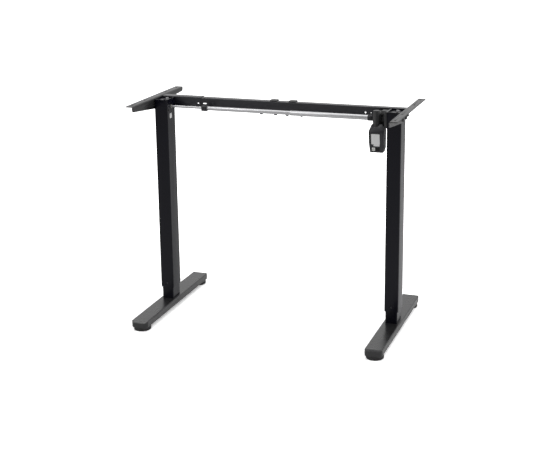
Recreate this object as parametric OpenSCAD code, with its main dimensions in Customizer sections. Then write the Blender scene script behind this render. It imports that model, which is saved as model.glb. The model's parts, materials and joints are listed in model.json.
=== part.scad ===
// Height adjustable desk frame: two telescopic columns, one motor, one drive rod.
// Millimetres. X runs along the crossbeam, Y from front to back, Z up from the floor.
// The origin is on the floor, midway between the columns.

/* [Frame] */
// Distance between the middles of the two columns
column_spacing = 774; // [760:1:1100]
// How far the desk top can rise
lift_travel = 450; // [300:10:500]
// Length of inner tube that stays inside the outer tube when raised
tube_overlap = 116; // [100:2:200]
// Inner tube that shows above the foot when lowered
column_gap = 40; // [25:1:80]
// Top of the columns below the desk top's underside
top_drop = 4; // [4:0.5:12]

/* [Outer tube] */
// Width of the outer tube, along the crossbeam
outer_w = 45; // [40:0.5:60]
// Depth of the outer tube, front to back
outer_d = 62; // [56:0.5:90]
// Wall of the outer tube
outer_t = 1.5; // [1.5:0.1:2.5]
// Corner radius of the outer tube
outer_r = 3.5; // [3:0.1:6]
// Gap between the two tubes, filled by the glides
glide_gap = 1.6; // [1.6:0.1:3]

/* [Inner tube] */
// Wall of the inner tube
inner_t = 2; // [1.5:0.1:2.5]
// Corner radius of the inner tube
inner_r = 3; // [2.8:0.1:4]
// Height of a glide strip
glide_h = 40; // [25:1:60]
// Width of a glide strip across the column's narrow side
glide_w = 22; // [12:1:24]
// Width of a glide strip along the column's deep side
glide_d = 34; // [16:1:38]

/* [Foot] */
// Length of the steel foot tube
foot_tube_l = 488; // [420:5:700]
// Width of the foot
foot_w = 57; // [52:1:80]
// Height of the foot tube
foot_h = 22; // [20:1:30]
// Wall of the foot tube
foot_t = 2; // [1.5:0.1:3]
// Corner radius of the foot tube
foot_r = 4; // [3:0.2:6]
// Length of an end cap beyond the tube
cap_l = 14; // [10:0.5:20]
// Length of an end cap's tongue inside the tube
cap_tongue = 8; // [5:1:9]
// Radius of an end cap's corners, seen from above
cap_r = 14; // [6:0.5:14]
// Height of the bevel along an end cap's top edge
cap_bevel = 6; // [3:0.5:8]

/* [Level pads] */
// Diameter of a level pad
pad_dia = 56; // [44:1:56]
// Thickness of a level pad
pad_thick = 12; // [8:0.5:16]
// Bevel around a level pad's lower edge
pad_bevel = 2.5; // [1:0.5:4]
// Diameter of a level pad's stud
stud_dia = 8; // [6:0.5:8]
// Length of a level pad's stud
stud_l = 17; // [12:0.5:18]

/* [Side brackets] */
// Length of a side bracket
bracket_l = 390; // [360:2:600]
// How far the middle of a bracket sits behind the column
bracket_shift = 4; // [0:1:20]
// Width of the bracket's top flange
flange_w = 26; // [22:0.5:40]
// Sheet thickness of a bracket
bracket_t = 2.5; // [2:0.1:3]
// Depth of the bracket's web at its front end
web_front_h = 18; // [14:0.5:20]
// Depth of the bracket's web at the column
web_mid_h = 35; // [34:0.5:40]
// Depth of the bracket's web behind the crossbeam
web_step_h = 21; // [18:0.5:30]
// Depth of the bracket's web at its back end
web_back_h = 15; // [10:0.5:18]
// Corner radius at the bracket's ends
web_end_r = 5; // [2:0.5:8]
// Diameter of the desk top's screw holes
screw_hole_dia = 7; // [5:0.5:8]
// Distance between the outer screw holes of a bracket
outer_hole_span = 340; // [300:5:350]
// Distance between the inner screw holes of a bracket
inner_hole_span = 160; // [130:5:200]

/* [Crossbeam] */
// Height of the crossbeam's rail
rail_h = 28.5; // [26:0.5:40]
// Depth of the crossbeam's rail, front to back
rail_d = 25; // [24:0.5:40]
// Sheet thickness of rail and sleeve
beam_t = 1.5; // [1.2:0.1:2]
// Length of the sleeve that the rail slides in
sleeve_l = 137.5; // [130:0.5:160]
// Depth of the sleeve, front to back
sleeve_d = 28; // [28:0.5:40]
// How far the frame can be pulled wider
width_travel = 60; // [20:5:62]
// Gap between the rail's end and the left bracket
rail_end_gap = 8.5; // [6:0.5:12]
// Thickness of the beam's end plates
end_plate_t = 3; // [2:0.5:5]
// Length of the slots in the rail's front
slot_l = 12; // [8:0.5:18]
// Height of the slots in the rail's front
slot_h = 3.5; // [3:0.5:6]
// Distance from one slot to the next
slot_pitch = 22; // [20:0.5:30]
// Height of the slots above the rail's lower edge
slot_z = 10; // [8:0.5:16]
// Diameter of the small holes in the beam's front
beam_hole_dia = 5; // [2:0.5:6]

/* [Desk top lugs and studs] */
// Width of a lug
lug_w = 25; // [20:1:40]
// Length of a lug, front to back
lug_l = 28; // [24:1:32]
// Thickness of a lug
lug_t = 3; // [2:0.5:4]
// Corner radius of a lug
lug_r = 6; // [2:0.5:8]
// Distance between the two lugs
lug_span = 63; // [50:1:100]
// Diameter of a lug's hole
lug_hole_dia = 6; // [4:0.5:6]
// Diameter of the studs under the rail
hang_stud_dia = 6; // [4:0.5:6]
// How far the studs hang below the rail
hang_stud_l = 18; // [10:0.5:24]
// Distance between the inner pair of studs
hang_inner_span = 39; // [30:1:50]
// Distance between the outer pair of studs
hang_outer_span = 136; // [110:1:180]

/* [Drive rod] */
// Drive rod's axis below the top of the columns
rod_drop = 26; // [26:0.5:28]
// Width across the flats of the hexagonal bars
hex_af = 6; // [5:0.1:7]
// Outer diameter of the thin drive tube
thin_tube_dia = 13; // [12:0.5:13.5]
// Outer diameter of the thick drive tube
thick_tube_dia = 16; // [15:0.5:18]
// Wall of the thick drive tube
thick_tube_t = 1.4; // [1:0.1:1.8]
// Gap from the sleeve's end to the rod hanger
hanger_gap = 17; // [8:0.5:40]
// Length of the thick drive tube
thick_tube_l = 260; // [200:1:280]
// Gap from the right column's middle to the thick tube's end
rod_end_gap = 81.5; // [81:0.5:100]
// Depth of the hexagonal socket in a tube's end
hex_socket_l = 25; // [15:1:40]
// Length of hexagonal bar inside the thin tube
hex_in_tube = 100; // [80:1:150]
// Length of the shaft collar
collar_l = 15; // [10:0.5:16]
// Diameter of the shaft collar
collar_dia = 19.5; // [18:0.5:20]
// Length of the rod hanger's block
hanger_l = 18; // [10:0.5:24]
// Height of the rod hanger's block
hanger_h = 17; // [16:0.5:20]

/* [Lead screws] */
// Diameter of a lead screw
screw_dia = 14; // [12:0.5:15]
// Diameter of a lead screw's top journal
journal_dia = 10; // [8:0.5:10]
// Outer diameter of the nut tube
nut_tube_dia = 22; // [21:0.5:24]
// Wall of the nut tube
nut_tube_t = 2; // [1.5:0.1:2]
// Diameter of the drive nut's flange
nut_flange_dia = 26; // [25:0.5:28]
// Height of the drive nut's flange
nut_flange_h = 8; // [4:0.5:12]
// Length of the drive nut's spigot in the tube
nut_spigot_h = 26; // [15:0.5:40]
// Top of the drive nut below the inner tube's end
nut_drop = 10; // [4:0.5:20]
// Gap under a lead screw's lower end
screw_floor_gap = 18; // [10:1:40]
// Thickness of the plate at the bottom of the inner tube
base_plate_t = 8; // [6:0.5:12]

/* [Gear heads] */
// Height of a gear head's housing
head_h = 53; // [52:0.5:60]
// Thickness of a gear head's cover
head_cover_t = 3; // [2:0.5:4]
// Cover's top below the end of the outer tube
cover_recess = 5; // [1:0.5:6]
// Free height between the inner tube and the gear head
head_room = 15; // [10:1:30]
// Outer diameter of the lead screw's bearing
bearing_dia = 22; // [21:0.5:24]
// Height of the lead screw's bearing
bearing_h = 9; // [7:0.5:9]
// Pitch radius of the mitre gears at their large end
mitre_r = 12; // [11.5:0.1:12.2]
// Teeth of a mitre gear
mitre_teeth = 14; // [12:2:16]
// Width of a mitre gear's teeth, along the cone
mitre_face = 6; // [4:0.5:7]

/* [Motor] */
// Gap from the right column's middle to the motor's middle
motor_gap = 56; // [56:0.5:60]
// Pitch radius of the worm wheel
wheel_r = 17; // [17:0.1:17]
// Teeth of the worm wheel
wheel_teeth = 15; // [15:1:15]
// Width of the worm wheel
wheel_face = 7; // [5:0.5:8]
// Pitch radius of the worm
worm_r = 6; // [6:0.1:6]
// Length of the worm's thread
worm_l = 24; // [18:1:26]
// Width of the gearbox, along the rod
gearbox_w = 24; // [22:0.5:26]
// Wall of the gearbox
gearbox_t = 3; // [2.5:0.1:3.5]
// Width of the motor cover
cover_w = 46; // [38:0.5:47]
// Depth of the motor cover, front to back
cover_d = 38; // [36:0.5:40]
// Height of the motor cover
cover_h = 88.5; // [84:0.5:92]
// Wall of the motor cover
cover_t = 1.8; // [1.2:0.1:2]
// Diameter of the motor's steel can
can_dia = 24; // [22:0.5:25]
// Height of the motor's steel can
can_h = 50; // [46:1:52]
// Side of the motor's socket
socket_w = 9.5; // [8:0.5:10]

/* [Hidden] */

// Round shapes
$fn = 48;

// Clearances, and the overrun of every cut
running_fit = 0.08;
slide_fit = 0.2;
seat_fit = 0.1;
face_fit = 0.3;
over = 1;

// Fasteners
bolt_dia = 6;
bolt_head_dia = 11;
bolt_head_h = 3.5;
bolt_l = 14;
nut_af = 10;
nut_h = 5;
grub_dia = 4;

// Levels, from the floor up
foot_top = pad_thick + foot_h;
outer_bottom = foot_top + column_gap;
inner_tube_l = column_gap + lift_travel + tube_overlap;
inner_top = foot_top + inner_tube_l;
head_bottom = inner_top + head_room;
head_top = head_bottom + head_h;
outer_top = head_top + head_cover_t + cover_recess;
outer_l = outer_top - outer_bottom;
desk_z = outer_top + top_drop;
rod_z = outer_top - rod_drop;

// Foot
foot_end_y = foot_tube_l / 2 + cap_l;
pad_y = foot_end_y - pad_dia / 2;
column_bolt_x = 9;
column_bolt_y = 16;
bolt_access_dia = 13;

// Inner tube
inner_w = outer_w - 2 * outer_t - 2 * glide_gap;
inner_d = outer_d - 2 * outer_t - 2 * glide_gap;
glide_t = glide_gap - slide_fit;
plate_w = inner_w - 2 * inner_t - 2 * seat_fit;
plate_d = inner_d - 2 * inner_t - 2 * seat_fit;
plate_top = foot_top + base_plate_t;
nut_top = inner_top - nut_drop;
nut_tube_top = nut_top - nut_flange_h;
dimple_dia = 7;
dimple_z = 14;

// Gear head
head_w = outer_w - 2 * outer_t - 2 * face_fit;
head_d = outer_d - 2 * outer_t - 2 * face_fit;
head_r = outer_r - outer_t;
head_bolt_y = 20.5;
head_bolt_low = 2;
head_bolt_rise = 12.5;
head_bolt_depth = 8;
head_floor = 5;
mitre_module = 2 * mitre_r / mitre_teeth;
mitre_addendum_share = 0.6;
mitre_dedendum_share = 0.85;
mitre_tooth_share = 0.36;
mitre_tip_share = 0.2;
mitre_add = mitre_addendum_share * mitre_module;
mitre_ded = mitre_dedendum_share * mitre_module;
mitre_pitch = PI * mitre_module;
mitre_back = mitre_r + mitre_ded * cos(45);
mitre_hub_h = 3.5;
cavity_r = mitre_r + mitre_add + slide_fit;
cavity_floor = rod_z - mitre_back - mitre_hub_h - face_fit;
bearing_top = cavity_floor - head_floor;
bearing_bottom = bearing_top - bearing_h;
bar_hub_dia = 12;
bar_hub_out = 1.5;
tube_hole_dia = 15;
cover_hole_dia = 12;

// Side bracket
web_x = outer_w / 2;
bracket_front = bracket_shift - bracket_l / 2;
bracket_back = bracket_shift + bracket_l / 2;
web_step_y = 75;
web_low_back = 15;

// Crossbeam
sleeve_front = outer_d / 2;
rail_front = sleeve_front + beam_t + slide_fit;
rail_top = desk_z - lug_t;
rail_bottom = rail_top - rail_h;
left_web = -column_spacing / 2 - web_x;
right_web = column_spacing / 2 + web_x;
sleeve_end = left_web + sleeve_l;
rail_left = left_web + rail_end_gap;
sleeve_hole_in = 9;
lock_first = 18;
lock_span = 40;
lock_y = rail_front + rail_d / 2;
rail_hole_x = 281;
rail_mark_x = 299;
rail_mark_dia = 2.5;
rail_plug_x = -230;
rail_plug_dia = 6;
end_bolt_rise = 7;
end_bolt_span = 13;

// Lugs and studs
lug_back = 66;
lug_middle = 6;
lug_hole_in = 5.5;
hang_y = rail_front + rail_d / 2;
hang_head_h = 3;

// Drive rod
tube_insert = 60;
rod_end = column_spacing / 2 - rod_end_gap;
thick_left = rod_end - thick_tube_l;
hanger_left = sleeve_end + hanger_gap;
thin_left = hanger_left + hanger_l / 2;
thin_tube_l = thick_left + tube_insert - thin_left;
hex_corner = hex_af / cos(30);
hex_fit = 0.15;
thin_bore_dia = 9.5;
hanger_d = 18;
hanger_arm_w = 6;
hanger_foot_t = 3.5;
hanger_foot_d = 19;
bar_tip = 5;

// Motor
motor_x = column_spacing / 2 - motor_gap;
motor_y = -wheel_r - worm_r;
wheel_module = 2 * wheel_r / wheel_teeth;
wheel_pitch = PI * wheel_module;
wheel_addendum_share = 0.65;
wheel_dedendum_share = 0.9;
wheel_tooth_share = 0.3;
wheel_tip_share = 0.17;
wheel_add = wheel_addendum_share * wheel_module;
wheel_ded = wheel_dedendum_share * wheel_module;
worm_core = worm_r - wheel_ded;
worm_out = worm_r + wheel_add;
worm_thread_share = 0.3;
worm_crest_share = 0.17;
worm_facing = 90;
hub_dia = 12;
wheel_cavity_r = wheel_r + wheel_add + 2 * slide_fit;
chamber_r = wheel_cavity_r + gearbox_t;
worm_bore_r = worm_out + 3 * slide_fit;
worm_col_r = worm_bore_r + gearbox_t;
worm_col_rise = 27;
worm_col_top = rod_z + worm_col_rise;
gearbox_cap_h = 5;
cap_hub_h = 3;
shaft_dia = 6;
tail_dia = 5;
can_drop = 20.5;
can_top = rod_z - can_drop;
can_bottom = can_top - can_h;
can_flange_t = 4;
can_t = 1.5;
armature_dia = 17;
armature_l = 24;
armature_lift = 14;
// Neck that joins the gearbox to its plate, and the short boss on its other side
neck_d = 28;
neck_up = 25;
neck_down = 22;
wheel_boss_l = 5;
wheel_boss_dia = 17;
// The cover's outline seen from the front: left and right shares of the width, and of the height
cover_front_shares = [[-0.45, 0], [0.42, 0], [0.5, 0.15], [0.5, 0.8], [0.38, 1], [-0.36, 1], [-0.5, 0.78], [-0.5, 0.3]];
// The cover's outline seen from the side: shares of the depth behind its front, and of the height
cover_side_shares = [[0.32, 0], [0.96, 0], [1, 0.06], [1, 0.9], [0.85, 1], [0.35, 1], [0, 0.78], [0, 0.7], [0.25, 0.08]];
cover_side_gap = 3.25;
cover_ahead = 21;
cover_tail = 31;
cover_x = motor_x + cover_side_gap;
cover_front = motor_y - cover_ahead;
cover_bottom = can_bottom - cover_tail;
socket_left = 8.75;
socket_rise = 11.5;
socket_in = 7;
socket_x = cover_x - socket_left;
socket_z = cover_bottom + socket_rise;
socket_front = cover_front + socket_in;
socket_d = 9;
socket_t = 1.1;
socket_deep = 6.5;
plate_t = 3;
plate_drop = 24;
plate_low = rod_z - plate_drop;
plate_right = column_spacing / 2 - outer_w / 2;
plate_left = plate_right - plate_t;
plate_lip = 8;
plate_hole_dia = 13;
plate_back_in = 4;
plate_front = -outer_d / 2;
plate_back = outer_d / 2 - plate_back_in;
boss_dia = 9;
// Places of the gearbox's screw bosses: shares of the chamber's radius, back and up from the rod
boss_shares = [[-0.6, 0.78], [0.6, 0.78], [0.6, -0.78]];
plate_screw_drop = 9;

module on_leg(side) {
    translate([side * column_spacing / 2, 0, 0])
        if (side < 0) mirror([1, 0, 0]) children();
        else children();
}

// A rectangle with round corners, made of squares and circles
module round_rect(w, d, r) {
    square([w - 2 * r, d], center = true);
    square([w, d - 2 * r], center = true);
    for (sx = [-1, 1], sy = [-1, 1])
        translate([sx * (w / 2 - r), sy * (d / 2 - r)]) circle(r = r);
}

module round_tube(w, d, r, t) {
    difference() {
        round_rect(w, d, r);
        round_rect(w - 2 * t, d - 2 * t, r - t);
    }
}

module along_x(l) {
    rotate([0, 90, 0]) linear_extrude(l) children();
}

// A cylinder along X, from x0 to x1
module x_rod(x0, x1, dia) {
    translate([x0, 0, 0]) rotate([0, 90, 0]) cylinder(h = x1 - x0, d = dia);
}

module hexagon(af) {
    circle(d = af / cos(30), $fn = 6);
}

module slot_2d(l, h) {
    square([l - h, h], center = true);
    for (s = [-1, 1]) translate([s * (l - h) / 2, 0]) circle(d = h);
}

// A bolt whose head sits on z = 0 and whose shank points down
module bolt(l) {
    cylinder(h = bolt_head_h, d = bolt_head_dia);
    translate([0, 0, -l]) cylinder(h = l + over / 2, d = bolt_dia);
}

module at_column_bolts() {
    for (sx = [-1, 1], sy = [-1, 1]) translate([sx * column_bolt_x, sy * column_bolt_y, 0]) children();
}

// Foot

module foot_bar(side) {
    color([0.2, 0.2, 0.21]) on_leg(side) difference() {
        translate([0, foot_tube_l / 2, pad_thick + foot_h / 2]) rotate([90, 0, 0])
            linear_extrude(foot_tube_l) round_tube(foot_w, foot_h, foot_r, foot_t);
        at_column_bolts() {
            translate([0, 0, pad_thick - over]) cylinder(h = foot_h / 2, d = bolt_access_dia);
            translate([0, 0, foot_top - foot_h / 2]) cylinder(h = foot_h, d = bolt_dia + 2 * seat_fit);
        }
        for (sy = [-1, 1]) translate([0, sy * pad_y, pad_thick - over])
            cylinder(h = foot_t + 2 * over, d = stud_dia + 2 * running_fit);
    }
}

module end_cap() {
    l = cap_l + cap_r;
    intersection() {
        translate([0, 0, pad_thick]) linear_extrude(foot_h) intersection() {
            translate([0, cap_l - l]) round_rect(foot_w, 2 * l, cap_r);
            translate([-foot_w / 2, 0]) square([foot_w, cap_l]);
        }
        translate([0, cap_l, pad_thick + foot_h / 2]) rotate([90, 0, 0])
            linear_extrude(cap_l) round_rect(foot_w, foot_h, foot_r);
        translate([-foot_w / 2, 0, pad_thick]) rotate([90, 0, 90]) linear_extrude(foot_w)
            polygon([[0, 0], [cap_l, 0], [cap_l, foot_h - cap_bevel], [cap_l / 2, foot_h], [0, foot_h]]);
    }
    translate([0, 0, pad_thick + foot_h / 2]) rotate([90, 0, 0]) linear_extrude(cap_tongue)
        round_rect(foot_w - 2 * foot_t - 2 * seat_fit, foot_h - 2 * foot_t - 2 * seat_fit, foot_r - foot_t);
}

module foot_end_caps(side) {
    color([0.12, 0.12, 0.12]) on_leg(side) {
        translate([0, foot_tube_l / 2, 0]) end_cap();
        mirror([0, 1, 0]) translate([0, foot_tube_l / 2, 0]) end_cap();
    }
}

module level_pad(side, end) {
    r = pad_dia / 2;
    color([0.1, 0.1, 0.1]) on_leg(side) translate([0, end * pad_y, 0]) {
        rotate_extrude() polygon([[0, 0], [r - pad_bevel, 0], [r, pad_bevel], [r, pad_thick], [0, pad_thick]]);
        cylinder(h = pad_thick + stud_l, d = stud_dia);
    }
}

module foot_bolts(side) {
    color([0.3, 0.3, 0.31]) on_leg(side) at_column_bolts()
        translate([0, 0, foot_top - foot_t]) mirror([0, 0, 1]) bolt(foot_t + base_plate_t - over);
}

// Inner column

module inner_tube(side) {
    color([0.16, 0.16, 0.17]) on_leg(side) translate([0, 0, foot_top])
        linear_extrude(inner_tube_l) round_tube(inner_w, inner_d, inner_r, inner_t);
}

// Strips on all four faces of the inner tube, from z0 up, off its skin by a gap
module glide_strips(gap) {
    for (s = [-1, 1]) {
        translate([-glide_w / 2, s * (inner_d / 2 + gap + glide_t / 2) - glide_t / 2, 0])
            cube([glide_w, glide_t, glide_h]);
        translate([s * (inner_w / 2 + gap + glide_t / 2) - glide_t / 2, -glide_d / 2, 0])
            cube([glide_t, glide_d, glide_h]);
    }
}

module upper_glides(side) {
    color([0.85, 0.85, 0.82]) on_leg(side) translate([0, 0, inner_top - glide_h]) glide_strips(0);
}

module nut_tube(side) {
    color([0.6, 0.6, 0.62]) on_leg(side) difference() {
        union() {
            translate([0, 0, foot_top]) linear_extrude(base_plate_t)
                round_rect(plate_w, plate_d, inner_r - inner_t);
            translate([0, 0, foot_top]) cylinder(h = nut_tube_top - foot_top, d = nut_tube_dia);
        }
        translate([0, 0, plate_top]) cylinder(h = nut_tube_top, d = nut_tube_dia - 2 * nut_tube_t);
        at_column_bolts() translate([0, 0, foot_top - over])
            cylinder(h = base_plate_t + 2 * over, d = bolt_dia + 2 * seat_fit);
    }
}

module drive_nut(side) {
    color([0.85, 0.8, 0.6]) on_leg(side) difference() {
        union() {
            translate([0, 0, nut_tube_top]) cylinder(h = nut_flange_h, d = nut_flange_dia);
            translate([0, 0, nut_tube_top - nut_spigot_h])
                cylinder(h = nut_spigot_h + over, d = nut_tube_dia - 2 * nut_tube_t - 2 * seat_fit);
        }
        translate([0, 0, nut_tube_top - nut_spigot_h - over])
            cylinder(h = nut_spigot_h + nut_flange_h + 2 * over, d = screw_dia + 2 * running_fit);
    }
}

// Outer column

module at_head_bolts() {
    for (sy = [-1, 1], k = [0, 1])
        translate([0, sy * head_bolt_y, rod_z + head_bolt_low + k * head_bolt_rise]) children();
}

module at_plate_screws() {
    for (sy = [-1, 1]) translate([0, sy * head_bolt_y, rod_z - plate_screw_drop]) children();
}

module outer_tube(side) {
    color([0.16, 0.16, 0.17]) on_leg(side) difference() {
        translate([0, 0, outer_bottom]) linear_extrude(outer_l) round_tube(outer_w, outer_d, outer_r, outer_t);
        at_head_bolts() x_rod(outer_w / 2 - outer_t - over, outer_w / 2 + over, bolt_dia + 2 * seat_fit);
        at_plate_screws() x_rod(-outer_w / 2 - over, -outer_w / 2 + outer_t + over, bolt_dia + 2 * seat_fit);
        translate([0, 0, rod_z]) x_rod(-outer_w / 2 - over, -outer_w / 2 + outer_t + over, tube_hole_dia);
        translate([0, 0, outer_bottom + dimple_z]) rotate([90, 0, 0])
            cylinder(h = outer_d + 2 * over, d = dimple_dia, center = true);
    }
}

module lower_glides(side) {
    color([0.3, 0.3, 0.3]) on_leg(side) {
        translate([0, 0, outer_bottom]) glide_strips(slide_fit);
        translate([0, 0, outer_bottom + dimple_z]) for (s = [-1, 1])
            rotate([-90 * s, 0, 0]) translate([0, 0, inner_d / 2 + slide_fit])
                cylinder(h = glide_t + outer_t / 2, d = dimple_dia - 2 * seat_fit);
    }
}

// Gear head

module gear_head(side) {
    color([0.25, 0.25, 0.26]) on_leg(side) difference() {
        translate([0, 0, head_bottom]) linear_extrude(head_h) round_rect(head_w, head_d, head_r);
        translate([0, 0, cavity_floor]) cylinder(h = head_h, r = cavity_r);
        translate([0, 0, rod_z]) x_rod(-mitre_back - face_fit, 0, 2 * cavity_r);
        translate([0, 0, rod_z]) x_rod(-head_w, 0, bar_hub_dia + 2 * running_fit);
        translate([0, 0, head_bottom - over]) cylinder(h = bearing_top - head_bottom + over, d = bearing_dia + 2 * seat_fit);
        translate([0, 0, head_bottom]) cylinder(h = head_h / 2, d = journal_dia + 4 * running_fit);
        at_head_bolts() x_rod(head_w / 2 - head_bolt_depth - over, head_w, bolt_dia + 2 * seat_fit);
        at_plate_screws() x_rod(-head_w, -head_w / 2 + head_bolt_depth + over, bolt_dia + 2 * seat_fit);
        for (sy = [-1, 1]) translate([0, sy * head_bolt_y, head_top - bolt_l])
            cylinder(h = bolt_l + over, d = bolt_dia + 2 * seat_fit);
    }
}

module gear_head_cover(side) {
    color([0.14, 0.14, 0.15]) on_leg(side) translate([0, 0, head_top]) difference() {
        linear_extrude(head_cover_t) round_rect(head_w, head_d, head_r);
        translate([0, 0, -over]) cylinder(h = head_cover_t + 2 * over, d = cover_hole_dia);
        for (sy = [-1, 1]) translate([0, sy * head_bolt_y, -over])
            cylinder(h = head_cover_t + 2 * over, d = bolt_dia + 2 * seat_fit);
    }
}

module screw_bearing(side) {
    color([0.7, 0.7, 0.72]) on_leg(side) translate([0, 0, bearing_bottom]) difference() {
        cylinder(h = bearing_h, d = bearing_dia);
        translate([0, 0, -over]) cylinder(h = bearing_h + 2 * over, d = journal_dia + 2 * running_fit);
    }
}

module lead_screw(side) {
    low = plate_top + screw_floor_gap;
    shoulder = bearing_bottom - slide_fit;
    color([0.72, 0.72, 0.74]) on_leg(side) {
        translate([0, 0, low]) cylinder(h = shoulder - low, d = screw_dia);
        translate([0, 0, low]) cylinder(h = rod_z - mitre_back - low, d = journal_dia);
    }
}

// A mitre gear on the Z axis whose cones meet at the origin, with its body below
module mitre_gear(hub_h, hub_d, phase) {
    cone_l = mitre_r / cos(45);
    near = (cone_l - mitre_face) / cone_l;
    root_r = mitre_r - mitre_ded * cos(45);
    root_w = mitre_pitch * (2 * mitre_tooth_share - mitre_tip_share);
    tip_w = mitre_pitch * mitre_tip_share;
    translate([0, 0, -mitre_back]) cylinder(h = (1 - near) * mitre_back, r1 = root_r, r2 = near * root_r);
    translate([0, 0, -mitre_back - hub_h]) cylinder(h = hub_h + over / 2, d = hub_d);
    for (k = [0:mitre_teeth - 1]) rotate([0, 0, (k + phase) * 360 / mitre_teeth])
        translate([mitre_r, 0, -mitre_r]) rotate([0, -45, 0])
            linear_extrude(mitre_face, scale = near)
                polygon([[-mitre_ded - slide_fit, -root_w / 2], [mitre_add, -tip_w / 2],
                         [mitre_add, tip_w / 2], [-mitre_ded - slide_fit, root_w / 2]]);
}

module screw_gear(side) {
    color([0.75, 0.72, 0.6]) on_leg(side) translate([0, 0, rod_z]) rotate([0, 0, 180]) difference() {
        mitre_gear(mitre_hub_h, 2 * (mitre_r - mitre_module), 0);
        translate([0, 0, -mitre_r - mitre_back]) cylinder(h = 2 * mitre_back, d = journal_dia + seat_fit);
    }
}

module bar_gear(side) {
    hub_h = outer_w / 2 + bar_hub_out - mitre_back;
    color([0.75, 0.72, 0.6]) on_leg(side) translate([0, 0, rod_z]) rotate([0, 90, 0]) difference() {
        mitre_gear(hub_h, bar_hub_dia, 0.5);
        translate([0, 0, -outer_w]) linear_extrude(2 * outer_w) hexagon(hex_af + hex_fit);
    }
}

// Side bracket

module web_outline() {
    polygon([[bracket_front, 0], [bracket_front, -web_front_h + web_end_r],
             [bracket_front + web_end_r, -web_front_h],
             [-outer_d / 2, -web_mid_h], [web_low_back, -web_mid_h], [web_step_y, -web_step_h],
             [bracket_back - web_end_r, -web_back_h], [bracket_back, -web_back_h + web_end_r],
             [bracket_back, 0]]);
}

module at_end_bolts() {
    for (k = [0, 1]) translate([0, rail_front + rail_d / 2, rail_bottom + end_bolt_rise + k * end_bolt_span])
        children();
}

module side_bracket(side) {
    color([0.24, 0.24, 0.25]) on_leg(side) difference() {
        union() {
            translate([web_x, 0, desk_z]) rotate([90, 0, 90]) linear_extrude(bracket_t) web_outline();
            translate([web_x + flange_w / 2, (bracket_front + bracket_back) / 2, desk_z - bracket_t])
                linear_extrude(bracket_t) difference() {
                    round_rect(flange_w, bracket_l, web_end_r);
                    for (span = [outer_hole_span, inner_hole_span], sy = [-1, 1])
                        translate([0, sy * span / 2]) circle(d = screw_hole_dia);
                }
            translate([web_x, bracket_front, desk_z - bracket_t]) cube([flange_w / 2 - screw_hole_dia, bracket_l, bracket_t]);
        }
        at_head_bolts() x_rod(web_x - over, web_x + bracket_t + over, bolt_dia + 2 * seat_fit);
        at_end_bolts() x_rod(web_x - over, web_x + bracket_t + over, bolt_dia + 2 * seat_fit);
    }
}

module head_bolts(side) {
    out = web_x + bracket_t;
    color([0.3, 0.3, 0.31]) on_leg(side) {
        at_head_bolts() translate([out, 0, 0]) rotate([0, 90, 0])
            bolt(bracket_t + outer_t + face_fit + head_bolt_depth);
        at_end_bolts() translate([out, 0, 0]) rotate([0, 90, 0]) bolt(bolt_l);
        for (sy = [-1, 1]) translate([0, sy * head_bolt_y, head_top + head_cover_t]) bolt(bolt_l);
    }
}

// Crossbeam

// A channel open to the back, drawn in the Y and Z directions, with its lower front corner at zero
module channel(d, h) {
    difference() {
        square([d, h]);
        translate([beam_t, beam_t]) square([d, h - 2 * beam_t]);
    }
}

module beam_sleeve() {
    h = rail_h + 2 * beam_t + 2 * slide_fit;
    low = rail_bottom - beam_t - slide_fit;
    color([0.18, 0.18, 0.19]) difference() {
        union() {
            translate([left_web, sleeve_front, low]) rotate([90, 0, 90]) linear_extrude(sleeve_l) channel(sleeve_d, h);
            translate([left_web, sleeve_front, low]) cube([end_plate_t, sleeve_d, h]);
        }
        translate([sleeve_end - sleeve_hole_in, sleeve_front - over, rail_bottom + slot_z]) rotate([-90, 0, 0])
            cylinder(h = beam_t + 2 * over, d = beam_hole_dia);
        for (k = [0, 1]) translate([sleeve_end - lock_first - k * lock_span, lock_y, low - over])
            cylinder(h = beam_t + 2 * over, d = bolt_dia + 2 * seat_fit);
        translate([-column_spacing / 2, 0, 0]) mirror([1, 0, 0]) at_end_bolts()
            x_rod(web_x - end_plate_t - over, web_x + over, bolt_dia + 2 * seat_fit);
    }
}

module rail_front_hole(x, dia) {
    translate([x, rail_front - over, rail_bottom + slot_z]) rotate([-90, 0, 0])
        cylinder(h = beam_t + 2 * over, d = dia);
}

module at_hanging_studs() {
    for (span = [hang_inner_span, hang_outer_span], sx = [-1, 1]) translate([sx * span / 2, hang_y, 0]) children();
}

module beam_rail() {
    lock_l = lock_span + width_travel + bolt_dia + 2 * slide_fit;
    lock_end = sleeve_end - lock_first + bolt_dia / 2 + slide_fit;
    color([0.16, 0.16, 0.17]) difference() {
        union() {
            translate([rail_left, rail_front, rail_bottom]) rotate([90, 0, 90])
                linear_extrude(right_web - rail_left) channel(rail_d, rail_h);
            translate([right_web - end_plate_t, rail_front, rail_bottom]) cube([end_plate_t, rail_d, rail_h]);
        }
        for (k = [0, 1])
            translate([sleeve_end - sleeve_hole_in + k * slot_pitch, rail_front - over, rail_bottom + slot_z])
                rotate([-90, 0, 0]) linear_extrude(beam_t + 2 * over) slot_2d(slot_l, slot_h);
        rail_front_hole(rail_hole_x, beam_hole_dia);
        rail_front_hole(rail_mark_x, rail_mark_dia);
        rail_front_hole(rail_plug_x, rail_plug_dia);
        translate([lock_end - lock_l / 2, lock_y, rail_bottom - over])
            linear_extrude(beam_t + 2 * over) slot_2d(lock_l, bolt_dia + 2 * slide_fit);
        at_hanging_studs() translate([0, 0, rail_bottom - over])
            cylinder(h = beam_t + 2 * over, d = hang_stud_dia + 2 * seat_fit);
        translate([hanger_left + hanger_l, lock_y, rail_bottom - over])
            cylinder(h = beam_t + 2 * over, d = bolt_dia + 2 * seat_fit);
        translate([column_spacing / 2, 0, 0]) at_end_bolts()
            x_rod(web_x - end_plate_t - over, web_x + over, bolt_dia + 2 * seat_fit);
    }
}

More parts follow.
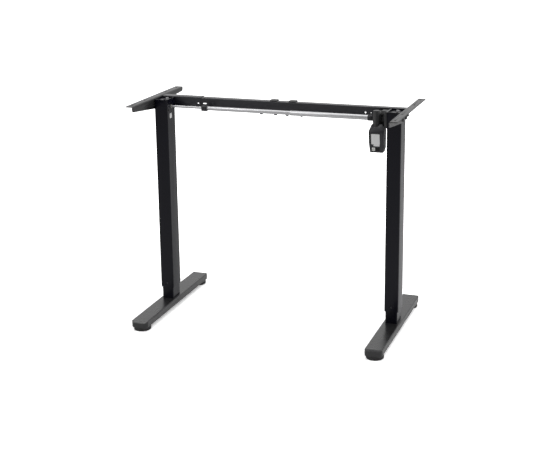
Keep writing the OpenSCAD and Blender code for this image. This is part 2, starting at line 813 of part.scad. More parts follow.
module beam_lock_screws() {
    low = rail_bottom - beam_t - slide_fit;
    color([0.3, 0.3, 0.31]) for (k = [0, 1])
        translate([sleeve_end - lock_first - k * lock_span, lock_y, low]) mirror([0, 0, 1]) bolt(bolt_l / 2);
}

module desk_top_lugs() {
    color([0.3, 0.3, 0.31]) for (s = [-1, 1]) translate([lug_middle + s * lug_span / 2, lug_back - lug_l / 2, rail_top])
        difference() {
            linear_extrude(lug_t) round_rect(lug_w, lug_l, lug_r);
            translate([0, lug_l / 2 - lug_hole_in, -over]) cylinder(h = lug_t + 2 * over, d = lug_hole_dia);
        }
}

module hanging_studs() {
    color([0.3, 0.3, 0.31]) at_hanging_studs() translate([0, 0, rail_bottom]) {
        translate([0, 0, beam_t]) cylinder(h = hang_head_h, d = nut_af);
        translate([0, 0, -hang_stud_l]) cylinder(h = hang_stud_l + beam_t + over, d = hang_stud_dia);
        translate([0, 0, over - hang_stud_l]) linear_extrude(nut_h) hexagon(nut_af);
    }
}

// Drive rod

module rod_hanger() {
    color([0.08, 0.08, 0.08]) difference() {
        union() {
            translate([hanger_left, 0, rod_z]) rotate([90, 0, 90]) linear_extrude(hanger_l)
                round_rect(hanger_d, hanger_h, hanger_d / 6);
            translate([hanger_left + hanger_l - hanger_arm_w, 0, rail_bottom - hanger_foot_t])
                cube([hanger_arm_w, rail_front + over, hanger_foot_t]);
            translate([hanger_left, rail_front, rail_bottom - hanger_foot_t]) cube([hanger_l * 3 / 2, hanger_foot_d, hanger_foot_t]);
            translate([hanger_left + hanger_l, lock_y, rail_bottom - hanger_foot_t])
                cylinder(h = hanger_foot_t + 2 * beam_t, d = bolt_dia);
        }
        translate([0, 0, rod_z]) x_rod(hanger_left - over, hanger_left + hanger_l + over, thin_tube_dia + 2 * running_fit);
    }
}

module left_hex_bar() {
    x0 = -column_spacing / 2 + bar_tip;
    color([0.75, 0.75, 0.77]) translate([x0, 0, rod_z])
        along_x(thin_left + hex_in_tube - x0) hexagon(hex_af);
}

module thin_drive_tube() {
    color([0.78, 0.78, 0.8]) translate([thin_left, 0, rod_z]) difference() {
        along_x(thin_tube_l) circle(d = thin_tube_dia);
        translate([-over, 0, 0]) along_x(thin_tube_l) hexagon(hex_af + hex_fit);
        translate([hex_socket_l, 0, 0]) along_x(thin_tube_l) circle(d = thin_bore_dia);
    }
}

module thick_drive_tube() {
    color([0.78, 0.78, 0.8]) translate([thick_left, 0, rod_z]) difference() {
        along_x(thick_tube_l) circle(d = thick_tube_dia);
        translate([-over, 0, 0]) along_x(thick_tube_l - hex_socket_l + over) circle(d = thin_tube_dia + 2 * seat_fit);
        along_x(thick_tube_l + over) hexagon(hex_af + hex_fit);
    }
}

module set_screw(x, r0, r1) {
    translate([x, 0, rod_z + r0]) cylinder(h = r1 - r0, d = grub_dia);
}

module tube_set_screws() {
    color([0.2, 0.2, 0.2]) {
        for (x = [thick_left + grub_dia * 2, thick_left + tube_insert / 2])
            set_screw(x, thick_tube_dia / 2, thick_tube_dia / 2 + grub_dia / 3);
        set_screw(rod_end - collar_l / 4, collar_dia / 2, collar_dia / 2 + grub_dia / 4);
    }
}

module shaft_collar() {
    color([0.08, 0.08, 0.08]) translate([0, 0, rod_z]) difference() {
        x_rod(rod_end - collar_l / 2, rod_end + collar_l / 2, collar_dia);
        x_rod(rod_end - collar_l, rod_end, thick_tube_dia + 2 * seat_fit);
        translate([rod_end - over, 0, 0]) along_x(collar_l) hexagon(hex_af + hex_fit);
    }
}

module right_hex_bar() {
    x0 = rod_end - hex_socket_l;
    color([0.75, 0.75, 0.77]) translate([x0, 0, rod_z])
        along_x(column_spacing / 2 - bar_tip - x0) hexagon(hex_af);
}

// Motor

module motor_mount_plate() {
    color([0.14, 0.14, 0.15]) difference() {
        union() {
            translate([plate_left, plate_front, plate_low]) cube([plate_t, plate_back - plate_front, outer_top - plate_low]);
            translate([plate_right - plate_lip, plate_front, plate_low]) cube([plate_lip, plate_t, outer_top - plate_low]);
        }
        translate([0, 0, rod_z]) x_rod(plate_left - over, plate_right + over, plate_hole_dia);
        translate([column_spacing / 2, 0, 0]) at_plate_screws()
            x_rod(-outer_w / 2 - plate_t - over, -outer_w / 2 + over, bolt_dia + 2 * seat_fit);
        at_bosses() x_rod(plate_left - over, plate_right + over, grub_dia + 2 * seat_fit);
    }
}

module at_bosses() {
    for (p = boss_shares) translate([0, p[0] * chamber_r, rod_z + p[1] * chamber_r]) children();
}

// The gearbox's outer shape, grown by a gap
module gearbox_envelope(gap) {
    r = chamber_r + gap;
    translate([0, 0, rod_z]) x_rod(motor_x - gearbox_w / 2 - gap, motor_x + gearbox_w / 2 + gap, 2 * r);
    translate([motor_x - gearbox_w / 2 - gap, motor_y, rod_z - chamber_r + gearbox_t - gap])
        cube([gearbox_w + 2 * gap, -motor_y, 2 * (chamber_r - gearbox_t) + 2 * gap]);
    translate([motor_x, motor_y, can_top - gap]) cylinder(h = worm_col_top - can_top + 2 * gap, r = worm_col_r + gap);
    translate([motor_x + gearbox_w / 2, -neck_d / 2 - gap, rod_z - neck_down - gap])
        cube([plate_left - motor_x - gearbox_w / 2, neck_d + 2 * gap, neck_down + neck_up + 2 * gap]);
}

module motor_gearbox() {
    side_x = motor_x + gearbox_w / 2 - gearbox_t;
    color([0.1, 0.1, 0.1]) difference() {
        union() {
            gearbox_envelope(0);
            translate([motor_x, motor_y, can_top]) cylinder(h = can_flange_t, d = can_dia + can_flange_t);
            at_bosses() x_rod(motor_x, plate_left, boss_dia);
            translate([0, 0, rod_z]) x_rod(motor_x - gearbox_w / 2 - wheel_boss_l, motor_x, wheel_boss_dia);
        }
        translate([0, 0, rod_z]) x_rod(side_x, plate_left + over, plate_hole_dia);
        translate([0, 0, rod_z]) x_rod(motor_x - wheel_face / 2 - slide_fit, side_x, 2 * wheel_cavity_r);
        translate([0, 0, rod_z]) x_rod(side_x - over, side_x + gearbox_t, 2 * (wheel_cavity_r + seat_fit));
        translate([0, 0, rod_z]) x_rod(motor_x - gearbox_w, motor_x, hub_dia + 2 * running_fit);
        translate([motor_x, motor_y, can_top + can_flange_t + over]) cylinder(h = worm_col_top - can_top, r = worm_bore_r);
        translate([motor_x, motor_y, can_top - over]) cylinder(h = worm_col_top - can_top, d = shaft_dia + 4 * running_fit);
    }
}

module gearbox_side_cover() {
    side_x = motor_x + gearbox_w / 2 - gearbox_t;
    color([0.12, 0.12, 0.12]) translate([0, 0, rod_z]) difference() {
        x_rod(side_x, side_x + gearbox_t, 2 * wheel_cavity_r);
        x_rod(side_x - over, side_x + gearbox_t + over, hub_dia + 2 * running_fit);
    }
}

module gearbox_cap() {
    color([0.2, 0.2, 0.2]) translate([motor_x, motor_y, worm_col_top - gearbox_cap_h]) difference() {
        union() {
            cylinder(h = gearbox_cap_h, r = worm_bore_r - seat_fit);
            translate([0, 0, gearbox_cap_h]) cylinder(h = gearbox_cap_h / 4, r = worm_col_r - gearbox_t / 2);
        }
        translate([0, 0, -over]) cylinder(h = cap_hub_h + over, d = shaft_dia + 2 * running_fit);
    }
}

// The worm wheel, on the X axis, with a tooth gap towards the worm
module worm_wheel() {
    root_w = wheel_pitch * (2 * wheel_tooth_share - wheel_tip_share);
    tip_w = wheel_pitch * wheel_tip_share;
    hub_l = gearbox_w / 2 + over;
    color([0.8, 0.75, 0.5]) translate([motor_x, 0, rod_z]) difference() {
        union() {
            x_rod(-wheel_face / 2, wheel_face / 2, 2 * (wheel_r - wheel_ded));
            x_rod(-hub_l, hub_l, hub_dia);
            for (k = [0:wheel_teeth - 1]) rotate([(k + 0.5) * 360 / wheel_teeth, 0, 0])
                translate([-wheel_face / 2, 0, 0]) rotate([90, 0, 90]) linear_extrude(wheel_face)
                    polygon([[-(wheel_r - wheel_ded - over), -root_w / 2], [-(wheel_r + wheel_add), -tip_w / 2],
                             [-(wheel_r + wheel_add), tip_w / 2], [-(wheel_r - wheel_ded - over), root_w / 2]]);
        }
        translate([-gearbox_w, 0, 0]) along_x(2 * gearbox_w) hexagon(hex_af + hex_fit);
    }
}

// Radius of the worm's cross-section at a share of a turn from the thread's middle
function worm_radius(u) =
    let (crest = worm_crest_share / 2, foot = worm_thread_share - worm_crest_share / 2)
    u < crest ? worm_out : u > foot ? worm_core : worm_out - (worm_out - worm_core) * (u - crest) / (foot - crest);

module worm_shaft() {
    points = 12;
    turns = worm_l / wheel_pitch;
    color([0.7, 0.7, 0.72]) translate([motor_x, motor_y, 0]) {
        translate([0, 0, rod_z]) rotate([0, 0, worm_facing - 180 * turns])
            linear_extrude(worm_l, center = true, twist = -360 * turns, slices = ceil(9 * turns))
                polygon([for (k = [0:points - 1])
                    let (a = 360 * k / points, u = min(k, points - k) / points)
                    worm_radius(u) * [cos(a), sin(a)]]);
        translate([0, 0, can_bottom + armature_lift]) cylinder(h = armature_l, d = armature_dia);
        translate([0, 0, can_bottom + can_t]) cylinder(h = rod_z - can_bottom, d = tail_dia);
        translate([0, 0, can_bottom + armature_lift])
            cylinder(h = worm_col_top - gearbox_cap_h + cap_hub_h - can_bottom - armature_lift - slide_fit, d = shaft_dia);
    }
}

module motor_can() {
    color([0.5, 0.5, 0.52]) translate([motor_x, motor_y, can_bottom]) difference() {
        cylinder(h = can_h, d = can_dia);
        translate([0, 0, 2 * can_t]) cylinder(h = can_h, d = can_dia - 2 * can_t);
        translate([0, 0, can_t / 2]) cylinder(h = can_h, d = tail_dia + 2 * running_fit);
    }
}

// The cover's solid, smaller all round by a wall
module cover_solid(t) {
    k = (cover_h - 2 * t) / cover_h;
    kx = (cover_w - 2 * t) / cover_w;
    ky = (cover_d - 2 * t) / cover_d;
    intersection() {
        translate([cover_x, cover_front + cover_d, cover_bottom + t]) rotate([90, 0, 0]) linear_extrude(cover_d)
            polygon([for (p = cover_front_shares) [p[0] * cover_w * kx, p[1] * cover_h * k]]);
        translate([cover_x - cover_w / 2, cover_front + t, cover_bottom + t]) rotate([90, 0, 90])
            linear_extrude(cover_w) polygon([for (p = cover_side_shares) [p[0] * cover_d * ky, p[1] * cover_h * k]]);
    }
}

module motor_cover() {
    color([0.12, 0.12, 0.12]) difference() {
        cover_solid(0);
        cover_solid(cover_t);
        gearbox_envelope(slide_fit);
        translate([motor_x, motor_y, can_top - over]) cylinder(h = cover_h, d = can_dia + can_flange_t + 2 * slide_fit);
        translate([motor_x, motor_y, can_bottom - slide_fit]) cylinder(h = can_h, d = can_dia + 2 * slide_fit);
        translate([socket_x - socket_w / 2 - seat_fit, cover_front - over, socket_z - socket_w / 2 - seat_fit])
            cube([socket_w + 2 * seat_fit, socket_in + socket_d + over, socket_w + 2 * seat_fit]);
    }
}

module motor_socket() {
    color([0.85, 0.85, 0.83]) translate([socket_x, socket_front, socket_z]) difference() {
        translate([-socket_w / 2, 0, -socket_w / 2]) cube([socket_w, socket_d, socket_w]);
        translate([socket_t - socket_w / 2, -over, socket_t - socket_w / 2])
            cube([socket_w - 2 * socket_t, socket_deep + over, socket_w - 2 * socket_t]);
    }
}

module motor_screws() {
    color([0.3, 0.3, 0.31]) translate([column_spacing / 2, 0, 0]) at_plate_screws()
        translate([-outer_w / 2 - plate_t, 0, 0]) rotate([0, -90, 0])
            bolt(plate_t + outer_t + face_fit + head_bolt_depth);
}

foot_bar(-1);  // left_foot_bar
foot_end_caps(-1);  // left_foot_end_caps
level_pad(-1, -1);  // left_front_level_pad
level_pad(-1, 1);  // left_back_level_pad
foot_bolts(-1);  // left_foot_bolts
inner_tube(-1);  // left_inner_tube
upper_glides(-1);  // left_upper_glides
nut_tube(-1);  // left_nut_tube
drive_nut(-1);  // left_drive_nut
outer_tube(-1);  // left_outer_tube
lower_glides(-1);  // left_lower_glides
gear_head(-1);  // left_gear_head
gear_head_cover(-1);  // left_gear_head_cover
screw_bearing(-1);  // left_screw_bearing
lead_screw(-1);  // left_lead_screw
screw_gear(-1);  // left_screw_gear
bar_gear(-1);  // left_bar_gear
side_bracket(-1);  // left_side_bracket
head_bolts(-1);  // left_head_bolts
foot_bar(1);  // right_foot_bar
foot_end_caps(1);  // right_foot_end_caps
level_pad(1, -1);  // right_front_level_pad
level_pad(1, 1);  // right_back_level_pad
foot_bolts(1);  // right_foot_bolts
inner_tube(1);  // right_inner_tube
upper_glides(1);  // right_upper_glides
nut_tube(1);  // right_nut_tube
drive_nut(1);  // right_drive_nut
outer_tube(1);  // right_outer_tube
lower_glides(1);  // right_lower_glides
gear_head(1);  // right_gear_head
gear_head_cover(1);  // right_gear_head_cover
screw_bearing(1);  // right_screw_bearing
lead_screw(1);  // right_lead_screw
screw_gear(1);  // right_screw_gear
bar_gear(1);  // right_bar_gear
side_bracket(1);  // right_side_bracket
head_bolts(1);  // right_head_bolts
beam_sleeve();
beam_rail();
beam_lock_screws();
desk_top_lugs();
hanging_studs();
rod_hanger();
left_hex_bar();
thin_drive_tube();
thick_drive_tube();
tube_set_screws();
shaft_collar();
right_hex_bar();
motor_mount_plate();
motor_gearbox();
gearbox_side_cover();
gearbox_cap();
worm_wheel();
worm_shaft();
motor_can();
motor_cover();
motor_socket();
motor_screws();
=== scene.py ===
"""Dresses a height adjustable desk frame: its steel, plastics, screws, labels and studio."""
import json
import math

import bmesh
import bpy
from bpy.props import FloatProperty, FloatVectorProperty, IntProperty, PointerProperty
from bpy.types import Operator, Panel, PropertyGroup
from mathutils import Matrix, Vector


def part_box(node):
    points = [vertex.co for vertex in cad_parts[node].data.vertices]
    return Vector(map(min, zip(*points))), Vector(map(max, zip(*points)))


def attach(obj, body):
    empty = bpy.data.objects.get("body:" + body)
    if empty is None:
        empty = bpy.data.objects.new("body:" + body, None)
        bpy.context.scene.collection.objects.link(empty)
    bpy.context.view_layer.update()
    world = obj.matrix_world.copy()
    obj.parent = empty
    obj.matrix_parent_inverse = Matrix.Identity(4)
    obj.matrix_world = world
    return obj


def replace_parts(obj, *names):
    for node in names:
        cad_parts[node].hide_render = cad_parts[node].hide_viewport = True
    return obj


bl_info = {
    "name": "Desk Frame",
    "version": (1, 0, 0),
    "blender": (4, 5, 0),
    "location": "View3D > Sidebar > Desk Frame",
    "description": "Finishes the columns, feet, crossbeam, drive rod and motor of a desk frame",
    "category": "Object",
}

MM = 0.001
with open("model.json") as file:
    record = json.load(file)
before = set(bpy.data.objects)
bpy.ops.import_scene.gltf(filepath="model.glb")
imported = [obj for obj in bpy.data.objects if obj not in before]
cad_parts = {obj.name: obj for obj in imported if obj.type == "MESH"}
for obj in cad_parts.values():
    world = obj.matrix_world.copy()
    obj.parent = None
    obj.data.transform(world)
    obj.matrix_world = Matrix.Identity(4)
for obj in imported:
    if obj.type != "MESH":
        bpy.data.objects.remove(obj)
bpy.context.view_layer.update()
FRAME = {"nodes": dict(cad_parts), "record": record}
NODES = FRAME["nodes"]

# Vertices this close are merged, faces within so many degrees are joined, coordinates this close are alike
WELD, FLAT, MATCH = 0.002 * MM, 0.8, 0.05 * MM
# Edges over SHARP degrees are rounded, those over SMOOTH degrees are shaded sharp
SHARP, SMOOTH = 40.0, 32.0
# Length under which an edge is no bend of a sheet
BEND_RUN = 5 * MM

# How far in from a foot's end its cap's upper rim is rounded
CAP_CROWN = 13.5 * MM

# A level pad's outline: inward from its edge and up from the floor, then inward and down from its top, in mm
PAD_FOOT = ((7.0, 0.0), (6.0, 0.6), (5.0, 0.0), (2.6, 0.0), (0.9, 0.8), (0.25, 2.5))
PAD_TOP = ((0.25, 1.4), (1.2, 0.3), (2.4, 0.0))
# Its grip ribs: inset and height, the lowest face that has one, and how far in from the edge the wall may lie
RIB_INSET, RIB_HEIGHT, RIB_FLOOR, PAD_WALL = 0.3 * MM, 0.24 * MM, 2.0 * MM, 1.0 * MM
# Its stud: radius, pitch and depth of the thread, plain neck, and the bevel at its tip across and along
STUD_RADIUS, STUD_PITCH, STUD_THREAD, STUD_NECK = 4.0 * MM, 1.25 * MM, 0.6 * MM, 0.4 * MM
STUD_BEVEL = (0.9 * MM, 1.0 * MM)

# A screw's head: facets, top and key as shares of its radius, and the key's depth as a share of its height
SCREW_STEPS, SCREW_TOP, SCREW_KEY, SCREW_KEY_DEPTH = 24, 0.86, 0.42, 0.62
# Its shank: share of its radius at the tip, length of the tip's bevel, and its reach into the head
TIP_SHARE, TIP_BEVEL, SHANK_SUNK = 0.82, 0.8 * MM, 0.1 * MM
# Share of a head's radius beyond which a vertex is on its rim, and a shank's radius where none is found
RIM_SHARE, SHANK_SHARE = 0.9, 0.55
# A direction whose Z is over this points up
UPWARD = 0.9

# Shares of the sheet bend for the beam, and of the steel edge for cut sheet and for the collar
BEAM_BEND, CUT_EDGE, COLLAR_EDGE = 0.8, 0.5, 1.6
# The black plug in a hole of the rail, whose dark is painted shade for that hole: its place along X and up
# from the rail's foot, and its turned outline
PLUG_X, PLUG_UP, PLUG_STEPS = -230 * MM, 10 * MM, 32
PLUG_OUTLINE = ((0, 1.4 * MM), (3.6 * MM, 1.3 * MM), (4.4 * MM, 0.8 * MM), (4.5 * MM, 0), (2.9 * MM, 0),
                (2.9 * MM, -3.0 * MM), (2.4 * MM, -3.5 * MM), (0, -3.5 * MM))

# The motor cover's front leans back from its bend down to its foot: shares of its depth and height
COVER_LEAN, COVER_BEND, COVER_FOOT = 0.25, 0.7, 0.08
# Its seam: share of its depth, and depth of the groove
COVER_PARTING, SEAM_DEPTH = 0.62, 0.5 * MM

# Width, height, distance right of the cover's middle and share of its height, for both parts of its label
MOTOR_LABEL = ((26.5 * MM, 34 * MM, -1.75 * MM, 0.49), (19 * MM, 5.5 * MM, 1 * MM, 0.267))
# Side of the column's label, and its place along Y and Z
COLUMN_LABEL, COLUMN_LABEL_AT = 16 * MM, (-5 * MM, 660 * MM)
# How deep a label sits in the face that carries it
LABEL_SET = 0.02 * MM
# The plate beside the socket, painted near black as shade for its recess, with a shallow sunk face: width,
# height, thickness, corner and how deep it sits in the cover
PORT_WIDTH, PORT_HEIGHT, PORT_THICK, PORT_CORNER, PORT_SET = 13 * MM, 10 * MM, 0.9 * MM, 1.5 * MM, 0.1 * MM
# Its distance right of the cover's middle, share of the cover's height, rim and depth of its sunk face
PORT_RIGHT, PORT_SHARE, PORT_RIM, PORT_SUNK = 4.5 * MM, 0.13, 1.3 * MM, 0.7 * MM

# Where the photograph was taken from
CAMERA_TARGET = (-0.00855, 0.0, 0.435)
CAMERA_DISTANCE = 3.7681
CAMERA_AZIMUTH, CAMERA_ELEVATION, CAMERA_ROLL = 19.438, 14.974, -0.644
CAMERA_LENS, CAMERA_SHIFT = 76.62, -0.0636

# Brightness of the room for soft light, and of its back for reflections
ROOM_GLOW, ROOM_BACK = 0.45, 0.95
# Its front in reflections: direction X from middle to left, and the brightness at each
ROOM_LEFT = (-0.2, -0.6, 0.25, 1.2)
# Direction Y at which the front of the room ends and its back begins
ROOM_PARTS = (-0.12, 0.2)

# Name, place, target, size and watts of each lamp
LAMPS = (("side_light", (3.4, 0.6, 1.6), (0.0, 0.0, 0.5), 2.4, 60.0),
         ("top_light", (0.2, 0.3, 3.6), (0.0, 0.0, 0.3), 3.0, 45.0),
         ("front_light", (-1.6, -3.4, 2.0), (0.0, 0.0, 0.4), 2.2, 6.0),
         ("rim_light", (-1.5, -1.0, 2.8), (-0.3, -0.2, 0.1), 0.9, 18.0))
# Brightness that the floor shows by itself, and what the lamps and the shadow add
FLOOR_GLOW, FLOOR_SHADOW = 0.24, 1.5
# Half the floor's side, its tone in soft light, and the distances between which it turns plain white
FLOOR_REACH, FLOOR_TONE, FLOOR_FADE = 20.0, 0.8, (0.75, 1.6)
SIDES = ("left", "right")

# Which body of the frame carries each CAD node
CARRIER = {node: body for body, nodes in FRAME["record"]["behaviour"]["bodies"].items() for node in nodes}
SLOT = {part["node"]: part["material_slot"] for part in FRAME["record"]["subparts"]}


def middle(node):
    low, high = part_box(node)
    return (Vector(low) + Vector(high)) / 2


# ---------------------------------------------------------------- sizes and colours


def length(name, description, default):
    return FloatProperty(name=name, description=description, default=default, min=0.0, precision=5,
                         subtype="DISTANCE", unit="LENGTH")


def colour(name, description, default):
    return FloatVectorProperty(name=name, description=description, default=default, size=3,
                               min=0.0, max=1.0, subtype="COLOR")


class DeskFrameSizes(PropertyGroup):
    sheet_bend: length("Sheet bend", "Outer radius of the bends of beam and brackets", 3.0 * MM)
    steel_edge: length("Steel edge", "Rounding of cut steel edges", 0.5 * MM)
    cast_edge: length("Cast edge", "Rounding of the gearbox's edges", 1.2 * MM)
    moulded_edge: length("Moulded edge", "Rounding of the motor cover's edges", 3.0 * MM)
    cap_crown: length("Cap crown", "Rounding of the foot caps' upper rim", 4.0 * MM)
    cap_edge: length("Cap edge", "Rounding of the foot caps' edges", 1.2 * MM)
    screw_edge: length("Screw edge", "Rounding of a screw head's rim", 0.9 * MM)
    seam: length("Seam", "Half the width of the seam round the motor cover", 0.5 * MM)
    label_edge: length("Label corner", "Corner radius of a label", 1.5 * MM)
    label_thick: length("Label thickness", "Thickness of a label", 0.2 * MM)
    pad_ribs: IntProperty(name="Pad ribs", description="Grip ribs round a level pad",
                          default=40, min=12, max=90)


class DeskFrameColours(PropertyGroup):
    paint: colour("Paint", "Powder coat of columns, feet, beam and brackets", (0.016, 0.016, 0.017))
    plastic: colour("Plastic", "Black mouldings", (0.014, 0.014, 0.015))
    zinc: colour("Zinc", "Bright plated rod and tubes", (0.5, 0.5, 0.51))
    steel: colour("Steel", "Bare turned steel", (0.42, 0.42, 0.43))
    sinter: colour("Sintered steel", "Gears", (0.3, 0.29, 0.26))
    oxide: colour("Black oxide", "Screws and collar", (0.03, 0.03, 0.032))
    nylon: colour("Nylon", "Glides", (0.72, 0.71, 0.66))
    acetal: colour("Acetal", "Drive nuts and worm wheel", (0.66, 0.6, 0.42))
    label: colour("Label", "Bare labels", (0.66, 0.66, 0.66))
    socket: colour("Socket", "Motor socket", (0.8, 0.8, 0.78))


# ---------------------------------------------------------------- finishes


class Value:
    """A node's output that can be used as a number in an expression."""

    def __init__(self, finish, socket):
        self.finish, self.socket = finish, socket

    def _math(self, operation, first, second=None):
        return self.finish.add("ShaderNodeMath", {"operation": operation}, {0: first, 1: second})

    def __add__(self, other):
        return self._math("ADD", self, other)

    def __sub__(self, other):
        return self._math("SUBTRACT", self, other)

    def __mul__(self, other):
        return self._math("MULTIPLY", self, other)

    def __pow__(self, other):
        return self._math("POWER", self, other)

    __radd__ = __add__


class Finish:
    """A material whose pattern follows the object's own coordinates."""

    def __init__(self, name):
        self.material = bpy.data.materials.new(name)
        self.material.use_nodes = True
        self.tree = self.material.node_tree
        self.shader = self.tree.nodes["Principled BSDF"]
        self.place = self.add("ShaderNodeTexCoord", {}, {}, "Object")

    def add(self, kind, settings, sockets, output=0):
        node = self.tree.nodes.new(kind)
        for name, value in settings.items():
            setattr(node, name, value)
        for name, value in sockets.items():
            self.link(value, node.inputs[name])
        return Value(self, node.outputs[output])

    def link(self, value, socket):
        if isinstance(value, Value):
            self.tree.links.new(value.socket, socket)
        elif value is not None:
            if socket.type == "RGBA" and len(value) == 3:
                value = (*value, 1.0)
            socket.default_value = value

    def stretched(self, scale):
        return self.add("ShaderNodeMapping", {}, {"Vector": self.place, "Scale": scale})

    def noise(self, scale, detail=2.0, roughness=0.5, vector=None):
        return self.add("ShaderNodeTexNoise", {}, {"Vector": vector or self.place, "Scale": scale,
                                                   "Detail": detail, "Roughness": roughness})

    def mix(self, share, first, second):
        return self.add("ShaderNodeMix", {"data_type": "RGBA"}, {0: share, 6: first, 7: second}, 2)

    def bump(self, height, distance):
        return self.add("ShaderNodeBump", {}, {"Height": height, "Distance": distance, "Strength": 1.0})

    def surface(self, **sockets):
        for name, value in sockets.items():
            self.link(value, self.shader.inputs[name.replace("_", " ")])
        return self.material


def shade(tone, factor):
    return tuple(min(1.0, channel * factor) for channel in tone)


BLUE_CAST = 0.003


def cool(tone):
    """A tone with the slight blue of the photo's blacks."""
    return tone[0], tone[1], tone[2] + BLUE_CAST


def powder_coat(name, tone, rough, gloss, pebble=0.00003):
    """Black powder coat: a fine pebble, a slow cloud in its gloss and faint dust."""
    f = Finish(name)
    f.shader.inputs["Specular IOR Level"].default_value = gloss
    cloud = f.noise(22.0, 3.0)
    pebbles = f.noise(1500.0, 2.0, 0.55)
    ripple = f.noise(420.0, 1.0)
    dust = f.noise(260.0, 5.0, 0.7) ** 3.0
    tint = f.mix(cloud, shade(tone, 0.82), shade(tone, 1.22))
    return f.surface(
        Base_Color=f.mix(dust * 0.35, tint, shade(tone, 2.6)),
        Roughness=rough + (cloud - 0.5) * 0.12 + (pebbles - 0.5) * 0.06,
        Normal=f.bump(pebbles * 0.7 + ripple * 0.5, pebble))


def moulded(name, tone, rough, grain=0.00004, scale=2200.0):
    """Moulded plastic with an etched grain."""
    f = Finish(name)
    etched = f.add("ShaderNodeTexVoronoi", {}, {"Vector": f.place, "Scale": scale})
    flow = f.noise(30.0, 3.0)
    return f.surface(
        Base_Color=f.mix(flow, shade(tone, 0.85), shade(tone, 1.25)),
        Roughness=rough + (flow - 0.5) * 0.14,
        Normal=f.bump(etched, grain))


def plated(name, tone):
    """Bright zinc on drawn tube: fine lines along its length and a soft spangle."""
    f = Finish(name)
    lines = f.noise(1.0, 2.0, 0.5, f.stretched((9.0, 2600.0, 2600.0)))
    spangle = f.noise(90.0, 4.0, 0.6)
    return f.surface(
        Base_Color=f.mix(spangle, shade(tone, 0.86), shade(tone, 1.14)),
        Metallic=1.0,
        Roughness=0.36 + lines * 0.12 + spangle * 0.1,
        Normal=f.bump(lines, 0.000008))


def turned(name, tone, stretch):
    """Bare steel with tool lines round the axis along which the pattern is squeezed."""
    f = Finish(name)
    lines = f.noise(1.0, 2.0, 0.5, f.stretched(stretch))
    stain = f.noise(70.0, 4.0, 0.6)
    return f.surface(
        Base_Color=f.mix(stain, shade(tone, 0.75), shade(tone, 1.15)),
        Metallic=1.0,
        Roughness=0.34 + lines * 0.12,
        Normal=f.bump(lines, 0.00001))


def cast(name, tone):
    """Painted die casting: orange peel and small pits."""
    f = Finish(name)
    peel = f.noise(500.0, 3.0, 0.6)
    pits = f.add("ShaderNodeTexVoronoi", {}, {"Vector": f.place, "Scale": 300.0})
    cloud = f.noise(45.0, 3.0)
    return f.surface(
        Base_Color=f.mix(cloud, shade(tone, 0.8), shade(tone, 1.4)),
        Roughness=0.42 + peel * 0.12,
        Normal=f.bump(peel + pits * 0.4, 0.00006))


def oxide(name, tone):
    """Black oxide screws: dark metal with worn, greyer spots."""
    f = Finish(name)
    worn = f.noise(320.0, 5.0, 0.65)
    return f.surface(
        Base_Color=f.mix(worn ** 2.0, tone, shade(tone, 3.0)),
        Metallic=0.7,
        Roughness=0.36 + worn * 0.16,
        Normal=f.bump(worn, 0.00001))


def sintered(name, tone):
    """Sintered gears: matt grey metal with open pores."""
    f = Finish(name)
    pores = f.add("ShaderNodeTexVoronoi", {}, {"Vector": f.place, "Scale": 1800.0})
    cloud = f.noise(120.0, 3.0)
    return f.surface(
        Base_Color=f.mix(cloud, shade(tone, 0.8), shade(tone, 1.2)),
        Metallic=0.9,
        Roughness=0.45 + cloud * 0.12,
        Normal=f.bump(pores, 0.00003))


def paper(name, tone):
    """A bare label: coated paper with a faint fibre."""
    f = Finish(name)
    fibre = f.noise(900.0, 4.0, 0.7)
    cloud = f.noise(60.0, 2.0)
    return f.surface(
        Base_Color=f.mix(fibre * 0.6 + cloud * 0.4, shade(tone, 0.9), shade(tone, 1.06)),
        Roughness=0.34 + fibre * 0.1,
        Normal=f.bump(fibre, 0.000006))


FINISHES = {}


def make_finishes(colours):
    """One material for each slot of the record, and more for the labels, the port's painted shade and the
    bright screws.
    """
    lines_round_z = (40.0, 40.0, 5000.0)
    FINISHES.update({
        # Painted shade: all four are one black powder coat; the column's copy (0.15) and the beam's (0.4) are
        # darkened to stand for the dim light on their fronts
        "foot_paint": powder_coat("foot_powder_coat", shade(colours.paint, 0.7), 0.28, 0.55, 0.00002),
        "column_paint": powder_coat("column_powder_coat_painted_shade", cool(shade(colours.paint, 0.15)), 0.22, 0.2),
        "beam_paint": powder_coat("beam_powder_coat_painted_shade", cool(shade(colours.paint, 0.4)), 0.34, 0.55),
        "bracket_paint": powder_coat("bracket_powder_coat", shade(colours.paint, 0.8), 0.36, 0.5),
        "cap_plastic": moulded("foot_cap_plastic", colours.plastic, 0.3),
        "pad_rubber": moulded("pad_plastic", shade(colours.plastic, 0.9), 0.6, 0.00006, 1200.0),
        "cover_plastic": moulded("cover_plastic", cool(shade(colours.plastic, 0.45)), 0.36),
        # Painted shade: the port plate is near black, far darker than the cover, to stand for the shade
        # inside the socket's recess
        "painted_port_shade": moulded("port_shade_plastic", shade(colours.plastic, 0.05), 0.9),
        "glide_plastic": moulded("glide_nylon", colours.nylon, 0.5),
        "nut_plastic": moulded("acetal", colours.acetal, 0.4),
        "socket_plastic": moulded("socket_plastic", colours.socket, 0.4),
        "black_screws": oxide("black_screws", colours.oxide),
        "collar_steel": oxide("collar_oxide", shade(colours.oxide, 0.6)),
        "raw_steel": turned("turned_steel", colours.steel, lines_round_z),
        "gear_steel": sintered("sintered_gears", colours.sinter),
        "plated_steel": plated("bright_zinc", colours.zinc),
        "bright_screws": oxide("zinc_screws", shade(colours.zinc, 0.4)),
        "cast_alloy": cast("black_casting", shade(colours.plastic, 0.7)),
        "label": paper("bare_label", colours.label),
    })
    for node, thing in NODES.items():
        dress(thing, SLOT[node])


def dress(thing, finish):
    thing.data.materials.clear()
    thing.data.materials.append(FINISHES[finish])


# ---------------------------------------------------------------- modelling


